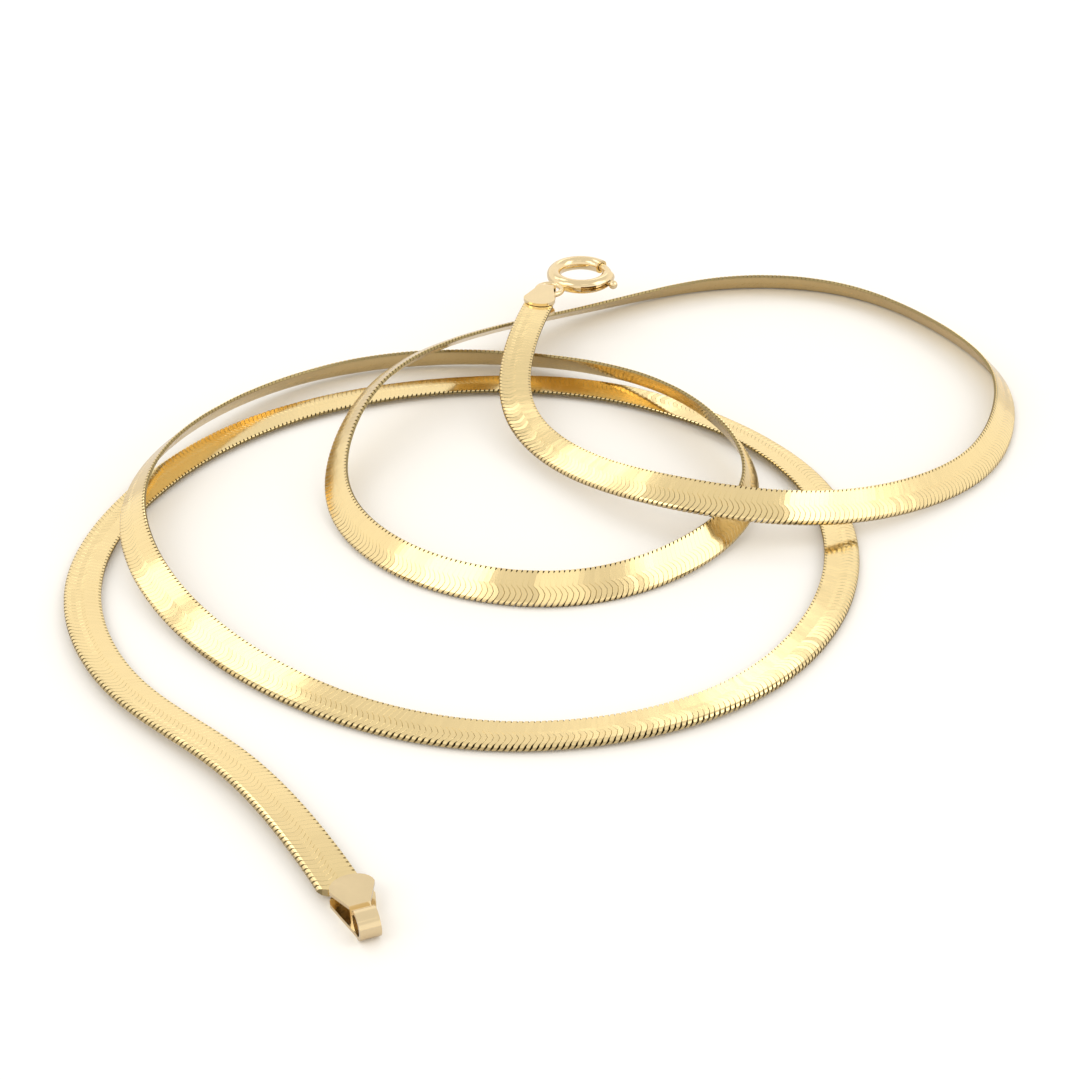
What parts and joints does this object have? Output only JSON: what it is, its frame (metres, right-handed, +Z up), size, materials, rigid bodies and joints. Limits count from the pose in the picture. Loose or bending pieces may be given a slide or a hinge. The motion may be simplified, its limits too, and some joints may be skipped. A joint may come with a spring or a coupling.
{
  "type": "herringbone chain necklace",
  "caption": "Flat polished gold herringbone chain necklace lying unfastened in loose overlapping loops, with a spring ring clasp at one end and a folded eyelet tab at the other.",
  "frame": {"origin": "centre of the bounding box, on the surface that the necklace lies on", "axes": "+Z up from the surface, +X to the right in the picture, -Y towards the camera, where the eyelet tab points"},
  "size_m": [0.085, 0.0978, 0.006],
  "materials": {
    "gold": "polished",
    "pale_gold": "polished"
  },
  "bodies": {
    "necklace": {"chain_clasp_side": "gold", "chain_tab_side": "gold", "clasp_fitting": "pale_gold", "tab_fitting": "pale_gold", "spring_ring": "gold"},
    "trigger": {"trigger": "pale_gold"}
  },
  "joints": [
    {"name": "trigger_slide", "type": "hinge", "parent": "necklace", "child": "trigger", "pos_m": [0.00121, 0.04268, 0.00451], "axis": [0, 0, -1], "range_deg": [0, 50], "stiffness_Nm_per_rad": 0.002, "springref_deg": -20.05}
  ]
}
